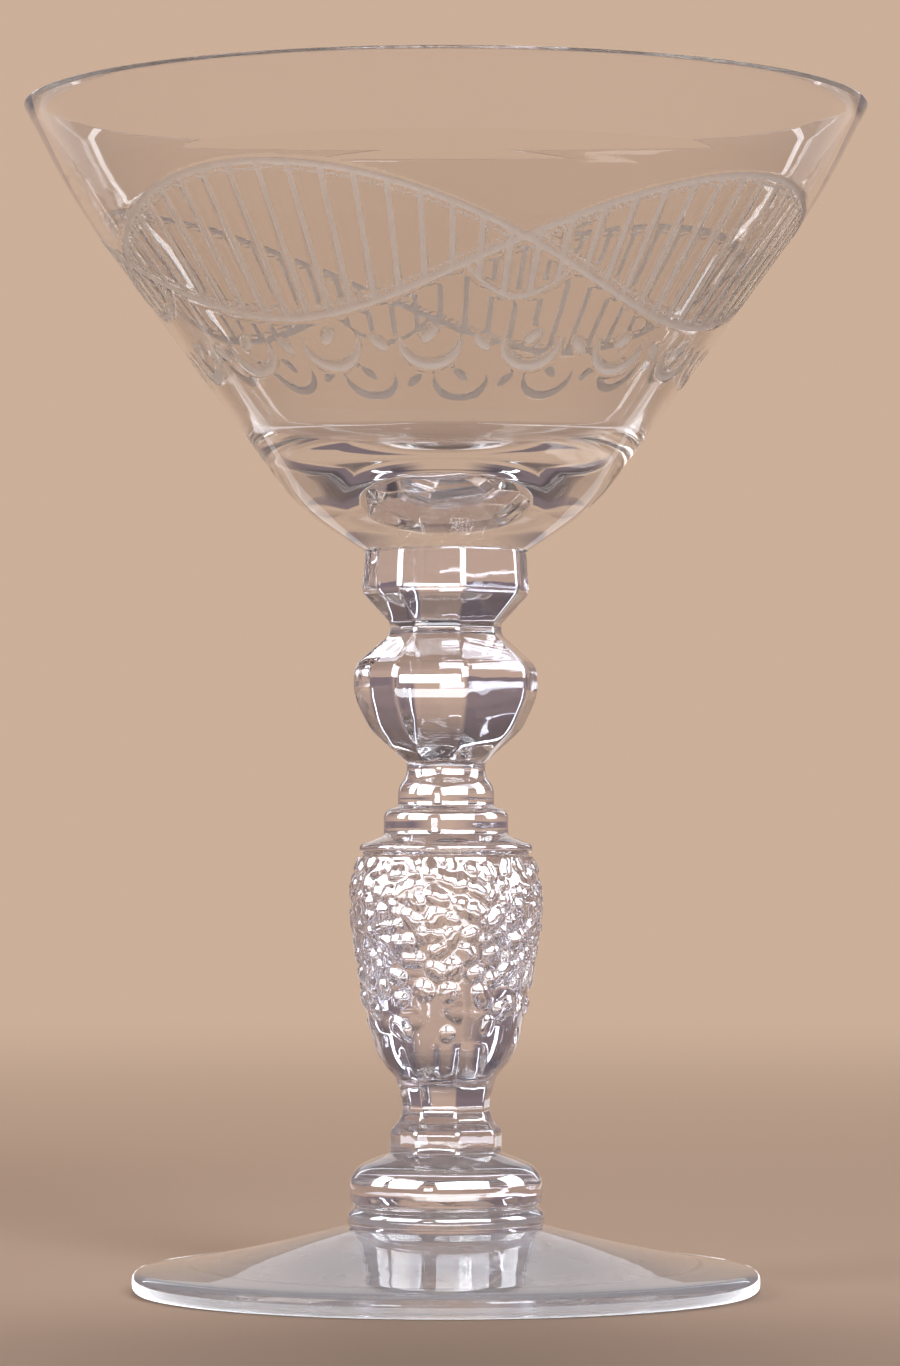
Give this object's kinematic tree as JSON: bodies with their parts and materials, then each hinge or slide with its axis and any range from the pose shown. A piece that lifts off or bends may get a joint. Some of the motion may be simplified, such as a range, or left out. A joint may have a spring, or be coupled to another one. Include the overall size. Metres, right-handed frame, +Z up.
{
  "type": "sherbet glass",
  "caption": "Stemmed sherbet glass: wide conical blown bowl with a cut frieze, pressed stem with panelled knops and a pebbled urn, round foot; serves sherbet or sparkling wine.",
  "frame": {"origin": "centre of the resting ring under the foot, on the surface that the glass stands on", "axes": "+Z up along the stem; the front, as pictured, faces -Y and +X is to its right"},
  "size_m": [0.0948, 0.0948, 0.1326],
  "materials": {
    "blown_glass": "clear, fire-polished, with a matte grey-cut frieze",
    "pressed_glass": "clear, fire-polished, pebbled on the urn",
    "cast_glass": "clear, polished, with a ground resting ring"
  },
  "bodies": {
    "root": {"bowl": "blown_glass", "stem": "pressed_glass", "foot": "cast_glass"}
  },
  "joints": []
}
